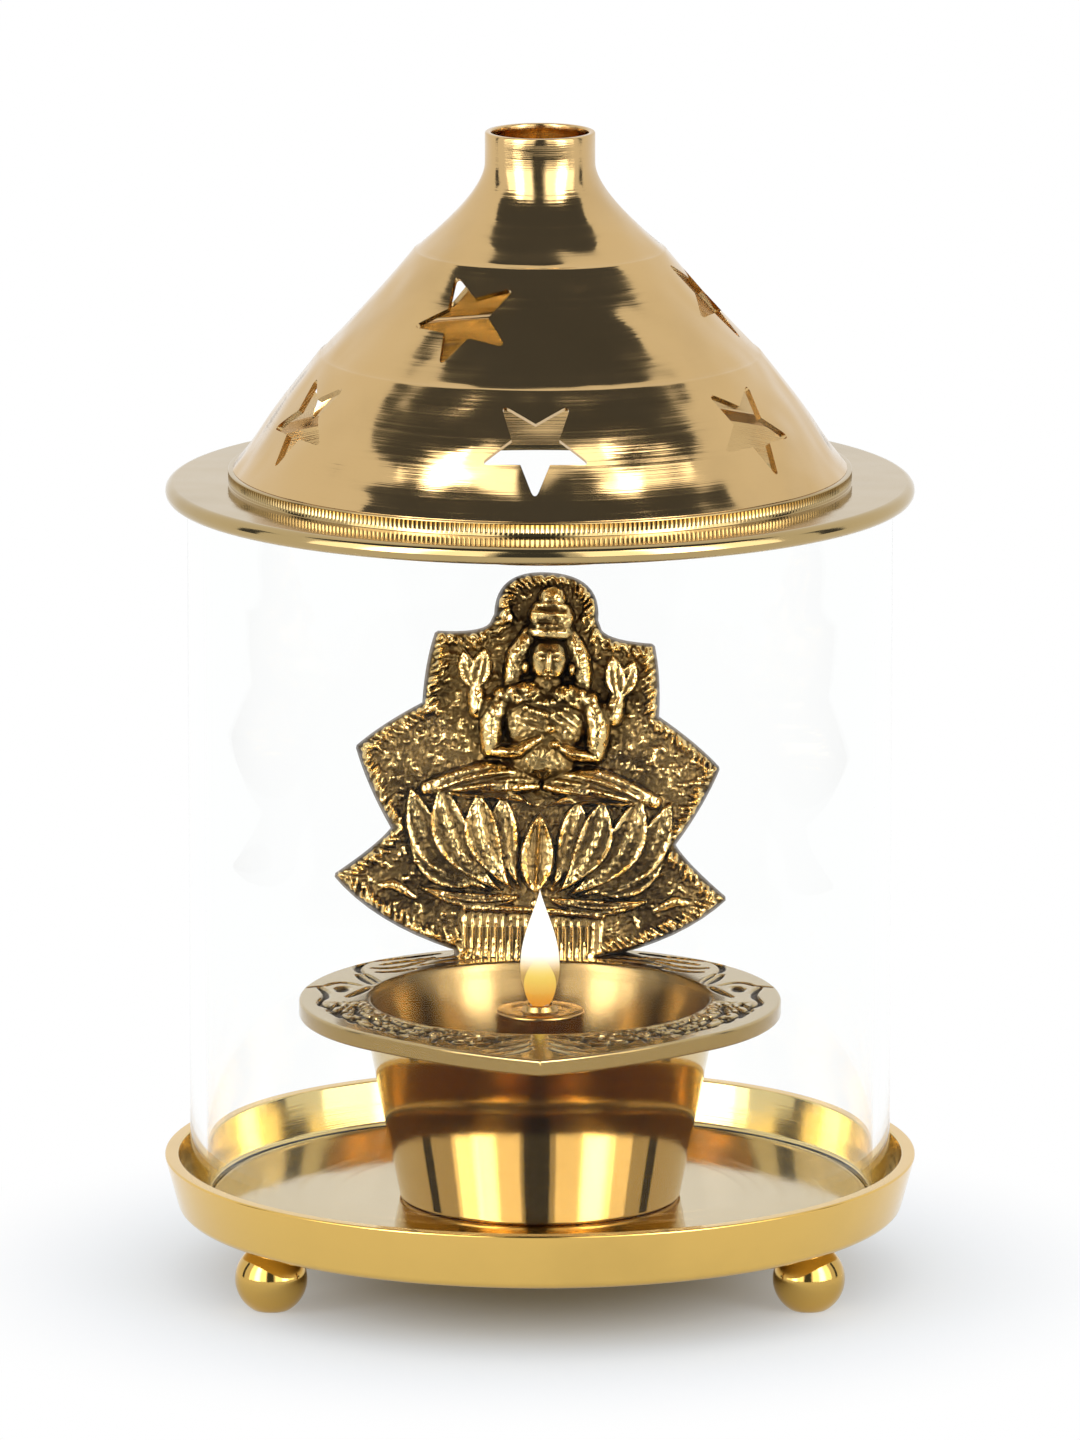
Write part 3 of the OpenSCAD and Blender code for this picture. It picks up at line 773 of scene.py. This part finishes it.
# %% Engraved brass
WORN_BRASS = colour(0.48, 0.37, 0.19)
RIM_BRASS = colour(0.42, 0.31, 0.14)
EDGE_BRASS = colour(0.35, 0.235, 0.085)
DIRT = colour(0.05, 0.033, 0.014)
SMOKED_BRASS = colour(0.245, 0.165, 0.066)
cup_finish, shader = new_finish("engraved_brass")
place, out, up = round_place(shader)
fine = (out + up * HEIGHT_SHARE).noise(3.4, 3.0)
cloud = place.noise(70.0, 4.0)
cut = shader.node("ShaderNodeAttribute", output="Fac", attribute_name="cut")
dirt = (cut + cloud * 0.3).step(0.35, 0.85)
mouth_line = (up - CUP_FLOOR) * ((CUP_R - BASE_R) / (UNDER_RIM - FLOOR)) + BASE_R - CUP_WALL
smoked = (1 - (out - mouth_line).step(0.3, 0.7)) * up.step(FLOOR + 1.0, FLOOR + 1.5)
on_rim = up.step(UNDER_RIM - 0.2, UNDER_RIM + 0.2)
at_edge = on_rim * (1 - up.step(CUP_RIM - 0.4, CUP_RIM - 0.15))
worn = (cloud.step(0.45, 0.8) * 0.4).mix(CAST_BRASS, WORN_BRASS)
worn = at_edge.mix((on_rim * 0.75).mix(worn, RIM_BRASS), EDGE_BRASS)
tint = smoked.mix(dirt.mix(worn, DIRT), SMOKED_BRASS)
rough = 0.035 + on_rim * 0.08 + fine.step(0.4, 0.8) * 0.03 + dirt * 0.35 + smoked * 0.13
brass(shader, tint, rough, (fine * (1 - smoked * 0.8)).bump(0.001))
piece("diya_cup_cast", cup_bm, "diya", cup_finish, ["diya_cup"])
dress("plaque_rivets", tray_brass)

# %% [markdown]
# ## Lotus plaque
# The plaque is a casting: a plate cut in tiers of petals, with a seated four-armed figure on a lotus.
# Modelling each limb as a solid would be slow and would look like a puppet. A relief is a height
# over every point of the plate, so a fine grid is lifted instead. Each form is a mound, a roll
# or a petal, and where two meet the higher one wins, which leaves the sharp creases of a casting.

# %% Plaque outline
PLATE_T = 3.0
PLATE_LOW = (10.5, -4.0)
PLATE_FOOT = (10.5, -0.3)
LOW_TIP = (28.9, 9.5)
LOW_NOTCH = (20.8, 16.8)
SIDE_TIP = (26.7, 28.3)
SIDE_NOTCH = (17.3, 35.2)
SHOULDER = (16.0, 45.7)
ARCH_R = 7.6
PLATE_H = 55.1
ARCH_FOOT = (ARCH_R + 0.6, SHOULDER[1] + 1.5)
bends = [
    (PLATE_FOOT, (LOW_TIP[0] - 6.4, LOW_TIP[1] - 6.7), LOW_TIP),
    (LOW_TIP, (LOW_NOTCH[0] + 1.8, LOW_NOTCH[1] - 2.6), LOW_NOTCH),
    (LOW_NOTCH, (SIDE_TIP[0] - 2, SIDE_TIP[1] - 5.6), SIDE_TIP),
    (SIDE_TIP, (SIDE_TIP[0] - 3.5, SIDE_TIP[1] + 3.4), SIDE_NOTCH),
    (SIDE_NOTCH, (SIDE_NOTCH[0], SHOULDER[1] - 4.6), SHOULDER),
    (SHOULDER, (ARCH_FOOT[0] + 1.3, SHOULDER[1]), ARCH_FOOT)]
arch = curve((ARCH_R, ARCH_FOOT[1] + 1.4), (ARCH_R + 0.2, PLATE_H), (0, PLATE_H), 12)
petal_edge = [point for bend in bends for point in curve(*bend, 8)[:-1]]
right_edge = np.array([PLATE_LOW, *petal_edge, ARCH_FOOT, *arch[:-1]])
plate_edge = np.concatenate([right_edge, [[0, PLATE_H]], right_edge[::-1] * (-1, 1)])
CELL = 0.17
half_width = LOW_TIP[0] + 2 * CELL
bottom = PLATE_LOW[1] - CELL
columns = round(2 * half_width / CELL)
rows = round((PLATE_H + CELL - bottom) / CELL)
across = np.linspace(-half_width, half_width, columns + 1)
upward = np.linspace(bottom, bottom + rows * CELL, rows + 1)
u, v = np.meshgrid(across, upward)
RELIEF_SHIFT = 0.7
mid = u - RELIEF_SHIFT
fold = np.abs(mid)
to_edge = np.full(u.shape, 1e9)
edge_way = np.zeros(u.shape)
on_plate = np.zeros(u.shape, bool)
run = 0.0
for start, end in zip(plate_edge, np.roll(plate_edge, -1, axis=0)):
    (ax, ay), (bx, by) = start, end
    length = math.dist(start, end)
    share, apart = to_segment(u, v, start, end)
    edge_way = np.where(apart < to_edge, run + share * length, edge_way)
    to_edge = np.minimum(to_edge, apart)
    crossing = ax + (v - ay) * (bx - ax) / ((by - ay) or 1.0)
    on_plate ^= ((ay > v) != (by > v)) & (u < crossing)
    run += length
print("plaque grid:", u.size, "points,", round(run), "mm round the edge")


# %% Relief forms
def mound(side, at, half_u, half_v, height):
    """An oval dome."""
    reach = ((side - at[0]) / half_u) ** 2 + ((v - at[1]) / half_v) ** 2
    return height * np.sqrt(np.clip(1 - reach, 0, None))


def roll(side, points, radius, height, taper=0.5):
    """A rounded strip along a line of points, thinner towards its ends."""
    best = np.zeros(v.shape)
    parts = len(points) - 1
    for i, ends in enumerate(zip(points, points[1:])):
        share, apart = to_segment(side, v, *ends)
        size = 1 - taper * (2 * (i + share) / parts - 1) ** 2
        dome = np.sqrt(np.clip(1 - (apart / (radius * size)) ** 2, 0, None))
        best = np.maximum(best, height * size * dome)
    return best


def petal(side, root, tip, half, bow, height, ribs=0.0):
    """A bowed petal with a raised edge and a midrib, or a fuller one with several ribs along it."""
    (ax, ay), (bx, by) = root, tip
    length = math.dist(root, tip)
    along = ((side - ax) * (bx - ax) + (v - ay) * (by - ay)) / length ** 2
    share = np.clip(along, 0, 1)
    off = ((v - ay) * (bx - ax) - (side - ax) * (by - ay)) / length - bow * 4 * share * (1 - share)
    width = half * np.sin(np.pi * share ** (1.5 if ribs else 0.85)) ** 0.75 + 1e-6
    reach = np.abs(off) / width
    dish = 0.6 + 0.4 * reach ** 2 + 0.25 * np.exp(-((off / 0.28) ** 2))
    if ribs:
        dish = 0.66 + 0.3 * reach ** 3 + 0.09 * np.cos(TURN * off / ribs)
    soft = np.clip((1 - reach) * width / 0.35, 0, 1) ** 0.5
    return np.where((along > 0) & (along < 1), height * dish * soft, 0)


print("relief forms: mound, roll, petal")

# %% [markdown]
# The stippled ground comes first, then the border, a hatched cable that follows the edge, the lotus
# and the figure. The face is a plain calm one on the usual proportions: eyes at half the height of
# the head, the nose ending half-way from there to the chin, and the mouth a third below the nose.

# %% Ground, border and lotus
def grains(scale, layer):
    """Smooth bumps over the plate, so many to the millimetre."""
    made = [noise.noise((x * scale, y * scale, layer)) for x, y in zip(u.flat, v.flat)]
    return np.array(made).reshape(u.shape)


DRAFT = 0.3
coarse = grains(0.45, 9.0)
stipple = grains(1.1, 3.0)
grit = grains(2.1, 6.0)
relief = 0.28 * stipple + 0.46 * coarse + 0.14 * grit
hatch = np.sin(TURN * (edge_way / 1.05 + to_edge * 0.6))
border = 0.65 * np.exp(-(((to_edge - 1.5) / 0.9) ** 2))
relief += border * (1 + 0.4 * hatch + 0.7 * coarse)
FLUTE = 1.1
FLUTE_DEPTH = 0.16
flutes = 0.45 + FLUTE_DEPTH * np.cos(TURN * fold / FLUTE)
lotus = [
    petal(fold, (9.4, 9.0), (18.8, 15.4), 1.7, -1.3, 1.1),
    petal(fold, (5.6, 8.4), (19.0, 22.8), 2.6, -3.0, 1.4, 2.4),
    petal(fold, (2.2, 9.0), (5.6, 22.4), 2.2, -0.8, 1.7, 2.2),
    petal(fold, (4.4, 8.4), (14.6, 23.4), 2.9, -2.5, 2.0, 2.5),
    petal(fold, (3.0, 8.6), (9.2, 22.4), 2.7, -1.6, 2.6, 2.5),
    petal(fold, (0.6, 21.0), (15.6, 22.8), 1.8, 1.4, 2.4, 1.4),
    petal(mid, (0, 8.6), (0, 20.2), 2.6, 0, 3.4),
    petal(fold, (2.0, 8.0), (17.0, 8.6), 1.2, -1.3, 1.3),
    petal(fold, (13.0, 10.6), (18.6, 12.4), 0.9, 0.3, 1.2),
    roll(fold, [(17.4, 7.0), (20.4, 8.6), (22.6, 8.4)], 0.8, 0.9),
    roll(fold, [(0, 6.1), (10, 5.9)], 0.6, 1.1, 0.1),
    np.where((v > -1) & (v < 5.6) & (fold < PLATE_FOOT[0]), flutes, 0)]
relief = np.maximum.reduce([relief, *lotus])
print("lotus:", len(lotus), "forms")

# %% Figure
HEAD = 42.5
HEAD_HALF = 3.6
figure = [
    roll(fold, [(2.6, 46.6), (4.6, 42.6), (5.4, 38.2)], 1.7, 2.0, 0.3),
    roll(fold, [(1.0, 25.0), (8.0, 25.2), (16.6, 22.8)], 2.2, 2.3, 0.5),
    roll(fold, [(14.0, 22.8), (7.0, 23.6), (0.6, 24.0)], 1.0, 2.6, 0.4),
    mound(mid, (0, 28.4), 5.0, 3.8, 2.5), mound(mid, (0, 33.6), 6.2, 5.6, 2.8),
    roll(fold, [(1.0, 37.4), (6.2, 36.6)], 2.3, 2.7, 0.2),
    roll(fold, [(6.2, 36.6), (7.8, 33.4), (7.6, 29.2)], 1.9, 2.6, 0.2),
    roll(fold, [(6.4, 36.4), (9.8, 34.6), (10.6, 38.8)], 1.5, 1.8, 0.25),
    petal(fold, (10.4, 37.6), (9.2, 43.6), 1.7, 0, 1.9),
    petal(fold, (10.6, 37.6), (12.6, 43.0), 1.6, 0, 1.7),
    roll(mid, [(0, 37.2), (0, 39.4)], 2.3, 1.9, 0.0),
    mound(mid, (0, 46.4), 3.7, 1.4, 2.9), mound(mid, (0, 48.4), 3.5, 3.2, 2.7),
    mound(mid, (0, 51.2), 2.2, 2.0, 2.4),
    mound(fold, (3.4, 41.2), 0.8, 1.3, 2.5), mound(mid, (0, HEAD), 3.15, HEAD_HALF, 3.3)]
arms = [
    roll(mid, [(-7.2, 28.6), (-3.6, 28.9), (0.6, 32.0)], 1.25, 3.3, 0.3),
    mound(mid, (0.8, 32.4), 1.3, 1.1, 3.5),
    roll(mid, [(7.2, 28.6), (4.2, 29.0), (1.8, 30.2)], 1.25, 3.2, 0.3),
    mound(mid, (1.6, 30.2), 1.1, 1.0, 3.4)]
relief = np.maximum.reduce([relief, *figure, *arms])
folds = np.sin(TURN * (v * 0.7 + fold * fold * 0.014 - fold * 0.05))
cloth = mound(fold, (8.0, 24.4), 8.0, 2.3, 1.0)
sash = mound(mid, (0.8, 34.4), 5.2, 3.4, 1.0)
relief += 0.24 * folds * cloth + 0.1 * np.sin(TURN * (0.8 * v + 0.03 * (mid + 5) ** 2)) * sash
for height in (45.6, 47.2, 49.0, 50.4):
    relief += 0.3 * np.exp(-(((v - height) / 0.28) ** 2)) * (mound(mid, (0, 48.2), 3.2, 4.4, 1.0) > 0)
for beads, from_centre in ((1.15, 5.4), (1.0, 3.6)):
    round_neck = np.hypot(mid, (v - 39.6) * 1.05)
    around = np.arctan2(mid, 39.6 - v) * from_centre
    string = np.exp(-(((round_neck - from_centre) / 0.4) ** 2)) * (v < 38.6)
    relief += 0.4 * string * (0.6 + 0.4 * np.cos(TURN * around / beads))
print("figure:", len(figure + arms), "forms")

# %% Face
chin = HEAD - HEAD_HALF
nose_end = (HEAD + chin) / 2
mouth = nose_end - (nose_end - chin) / 3
features = [
    mound(fold, (1.2, HEAD), 0.66, 0.34, 0.3),
    roll(fold, [(0.45, HEAD + 0.75), (1.25, HEAD + 1.0), (2.1, HEAD + 0.6)], 0.26, 0.28),
    roll(mid, [(0, HEAD + 0.7), (0, nose_end)], 0.45, 0.5, 0.2),
    mound(mid, (0, nose_end), 0.65, 0.36, 0.35),
    mound(mid, (0, mouth), 0.85, 0.24, 0.26), mound(mid, (0, mouth - 0.45), 0.6, 0.24, 0.24),
    mound(mid, (0, chin + 0.5), 0.7, 0.45, 0.18)]
relief += sum(features)
on_face = mound(mid, (0, HEAD), 3.15, HEAD_HALF, 1.0) > 0
relief += np.where(on_face, 0.3, 1.0) * (0.14 * stipple + 0.12 * grit + 0.06 * coarse)
relief -= 0.8 * np.clip(1 - (to_edge - DRAFT) / 0.5, 0, 1) ** 2
print("face:", len(features), "features")

# %% [markdown]
# Antiquing leaves the hollows nearly black and the high places bright. What counts is not the height
# itself but whether a point stands above or below what is round it, so the relief is compared with a
# blurred copy of itself. The result goes on the points as an attribute for the finish. The plate's
# edge leans outwards to the back, as a casting's must if it is to come out of the sand.

# %% Cast plate
blurred = relief
for _ in range(22):
    framed = np.pad(blurred, 1, mode="edge")
    blurred = (framed[:-2, 1:-1] + framed[2:, 1:-1] + framed[1:-1, :-2] + framed[1:-1, 2:]) / 4
formed = np.maximum.reduce(lotus + figure + arms) > 0.5
rubbed = np.clip(np.where(formed, 0.40, 0.35) + (relief - blurred) / 0.5, 0, 1)
plate_bm = bmesh.new()
bmesh.ops.create_grid(plate_bm, x_segments=columns, y_segments=rows, size=0.5)
rubbed_layer = plate_bm.verts.layers.float.new("rubbed")
front = on_plate & (to_edge > DRAFT)
kept = set()
for point in plate_bm.verts:
    at = round((point.co.y + 0.5) * rows), round((point.co.x + 0.5) * columns)
    point.co = (u[at], v[at], PLATE_T + relief[at])
    point[rubbed_layer] = rubbed[at]
    if front[at]:
        kept.add(point)
outside = [cell for cell in plate_bm.faces if len(kept.intersection(cell.verts)) < 2]
bmesh.ops.delete(plate_bm, geom=outside, context="FACES")
steps_on = np.roll(plate_edge, -1, axis=0) - plate_edge


def on_edge(point):
    """The point of the outline that lies nearest."""
    share = np.clip(((point - plate_edge) * steps_on).sum(1) / (steps_on ** 2).sum(1), 0, 1)
    nearest = plate_edge + share[:, None] * steps_on
    return nearest[np.argmin(np.linalg.norm(nearest - point, axis=1))]


for point in {end for edge in open_edges(plate_bm) for end in edge.verts}:
    here = np.array(point.co.xy)
    edge = on_edge(here)
    point.co.xy = edge + (here - edge) * (DRAFT / np.linalg.norm(here - edge))
back = bmesh.ops.extrude_edge_only(plate_bm, edges=open_edges(plate_bm))["geom"]
for point in only_points(back):
    point.co.xy = on_edge(np.array(point.co.xy))
    point.co.z = 0
bmesh.ops.edgeloop_fill(plate_bm, edges=open_edges(plate_bm))
PLATE_SHIFT = -2.0
PLATE_Y = 30.0
ASKEW = math.radians(3.5)
LEAN_BACK = math.radians(12)
stand = Matrix.Translation((PLATE_SHIFT, PLATE_Y, CUP_RIM)) @ Matrix.Rotation(ASKEW, 4, "Y")
stand @= Matrix.Rotation(math.pi / 2 - LEAN_BACK, 4, "X")
bmesh.ops.transform(plate_bm, matrix=stand, verts=plate_bm.verts)
bmesh.ops.bisect_plane(plate_bm, geom=everything(plate_bm), plane_co=(0, 0, CUP_RIM),
                       plane_no=(0, 0, 1), clear_inner=True)
bmesh.ops.holes_fill(plate_bm, edges=open_edges(plate_bm))
PAD = (18.2, 5.0, 4.4)
pad_place = Matrix.Translation((PLATE_SHIFT, PLATE_Y - 0.9, CUP_RIM + PAD[2] / 2))
pad_place @= Matrix.Diagonal((*PAD, 1))
pad = bmesh.ops.create_cube(plate_bm, size=1, matrix=pad_place)["verts"]
pad_edges = {e for p in pad for e in p.link_edges}
level = [e for e in pad_edges if abs(e.verts[0].co.x - e.verts[1].co.x) > 1]
pad_front = min(p.co.y for p in pad)
bmesh.ops.subdivide_edges(plate_bm, edges=level, cuts=130)
for point in plate_bm.verts:
    if abs(point.co.y - pad_front) < 1e-4:
        wave = math.cos(TURN * (point.co.x - PLATE_SHIFT) / FLUTE)
        point.co.y += FLUTE_DEPTH - FLUTE_DEPTH * wave
        point[rubbed_layer] = 0.5 + 0.3 * wave
bmesh.ops.recalc_face_normals(plate_bm, faces=plate_bm.faces)
print("plate:", len(plate_bm.faces), "faces")

# %% Antiqued brass
plate_finish, shader = new_finish("antiqued_brass")
place = shader.node("ShaderNodeTexCoord", output="Object")
grain = place.noise(900.0, 3.0)
cloud = place.noise(120.0, 3.0)
rub = shader.node("ShaderNodeAttribute", output="Fac", attribute_name="rubbed")
bright = (rub + (grain - 0.5) * 0.35 + (cloud - 0.5) * 0.3).step(0.40, 0.75)
blackened = cloud.step(0.35, 0.65).mix(colour(0.042, 0.026, 0.009), colour(0.15, 0.094, 0.032))
tint = bright.mix(blackened, colour(0.70, 0.50, 0.205))
brass(shader, tint, 0.36 - bright * 0.24, grain.bump(0.06, strength=0.6))
piece("lotus_plaque_cast", plate_bm, "diya", plate_finish, ["lotus_plaque"], 60)

# %% [markdown]
# ## Wick and flame
# The holder is a turned weight with a stem and a round head, and the wick goes up through it. The
# wick is three plies of cotton twisted together: a small circle that climbs while it spins about the
# axis makes one ply, and turned copies make the other two. The flame is hot gas, not a piece of the
# lamp, but the lamp is shown lit. It is a drop-shaped skin that gives light, white above and amber
# and thinner below, round an amber core.

# %% Wick holder
holder_low, holder_high = box_mm("wick_holder")
holder_r = 6.3
base_r = holder_high.x
stem_r = 3.4
head_top = holder_high.z - 0.8
head_low = head_top - 3.4
bore = 1.72
holder_outline = [
    (bore, holder_low.z, 0), (base_r, holder_low.z, 0.3), (base_r, holder_low.z + 2.0, 0.5),
    (stem_r, holder_low.z + 2.3, 0.4), (stem_r, head_low - 0.4, 0.4), (holder_r, head_low, 0.4),
    (holder_r, head_top, 0.35), (4.3, head_top, 0.1), (4.1, head_top - 0.15, 0.1),
    (2.7, head_top - 0.15, 0.2), (2.3, holder_high.z, 0.2), (bore, holder_high.z, 0.1)]
holder_brass = turned_brass("holder_brass", colour(0.46, 0.28, 0.09), 0.16, 0.008, 0.05, 0.7)
piece("wick_holder_turned", spun(outline_wire(holder_outline), 160), "wick_holder",
      holder_brass, ["wick_holder"])

# %% Cotton wick
wick_low, wick_high = box_mm("cotton_wick")
PLY_R = 0.72
PLY_OFF = 0.74
PITCH = 9.0
PLY_STEPS = 72
wick_l = wick_high.z - wick_low.z
wick_bm = bmesh.new()
for ply in range(3):
    start = Matrix.Rotation(TURN * ply / 3, 4, "Z") @ Matrix.Translation((PLY_OFF, 0, wick_low.z))
    ring = bmesh.ops.create_circle(wick_bm, segments=14, radius=PLY_R, matrix=start)["verts"]
    loop = list({e for p in ring for e in p.link_edges})
    bmesh.ops.spin(wick_bm, geom=ring + loop, cent=(0, 0, 0), axis=(0, 0, 1), steps=PLY_STEPS,
                   dvec=(0, 0, wick_l / PLY_STEPS), angle=TURN * wick_l / PITCH)
bmesh.ops.holes_fill(wick_bm, edges=open_edges(wick_bm))
bmesh.ops.recalc_face_normals(wick_bm, faces=wick_bm.faces)
wick_finish, shader = new_finish("twisted_cotton")
place, _, up = round_place(shader)
fibre = place.noise(2600.0, 3.0)
char = (up + fibre * 1.2).step(wick_high.z - 3.0, wick_high.z - 0.6)
oiled = fibre.mix(colour(0.62, 0.50, 0.30), colour(0.86, 0.78, 0.60))
tint = char.mix(oiled, colour(0.015, 0.012, 0.010))
fuzz = fibre.bump(0.1, strength=0.8)
shader.node("ShaderNodeBsdfPrincipled", {
    "Base Color": tint, "Roughness": 0.85, "Sheen Weight": 0.3, "Normal": fuzz}).show()
piece("twisted_wick", wick_bm, "wick", wick_finish, ["cotton_wick"], 60)

# %% Flame
flame_foot = head_top - 0.5


def glowing(name, low, high, tints, clear, glow):
    """A skin of light, from one tint at its foot to another at its tip, clearer at the foot."""
    finish, shader = new_finish(name)
    climb = round_place(shader)[2].step(flame_foot + low, flame_foot + high)
    cover = clear + climb * (1 - clear)
    shader.node("ShaderNodeBsdfPrincipled", {
        "Base Color": colour(0, 0, 0), "Roughness": 1.0, "Specular IOR Level": 0.0, "Alpha": cover,
        "Emission Color": climb.mix(*tints), "Emission Strength": glow}).show()
    return finish


def flame_skin(name, low, high, belly_z, belly_r, finish):
    """A drop that swells to its belly and runs out to a point, in heights above the flame's foot."""
    drop = []
    for z in np.linspace(low, high, 41):
        under = (z - low) / (belly_z - low)
        over = (z - belly_z) / (high - belly_z)
        if under < 1:
            swell = math.sin(math.pi / 2 * under) ** 0.6
        else:
            swell = max(math.cos(math.pi / 2 * over), 0.0) ** 1.25
        drop.append((belly_r * swell, flame_foot + z, 0))
    drop[0] = (0, flame_foot + low, 0)
    drop[-1] = (0, flame_foot + high, 0)
    return piece(name, spun(outline_wire(drop), 64), "wick", finish)


CORE_TINTS = (colour(0.90, 0.34, 0.03), colour(1.0, 0.78, 0.16))
MANTLE_TINTS = (colour(1.0, 0.62, 0.16), colour(1.0, 0.97, 0.88))
mantle_light = glowing("flame_mantle_light", 5.0, 9.6, MANTLE_TINTS, 0.1, 1.3)
core_light = glowing("flame_core_light", 1.0, 7.0, CORE_TINTS, 0.92, 0.9)
mantle = flame_skin("flame_mantle", 0, 18.0, 6.8, 2.8, mantle_light)
mantle.visible_glossy = False
flame_skin("flame_core", 0.1, 9.0, 4.2, 2.3, core_light)
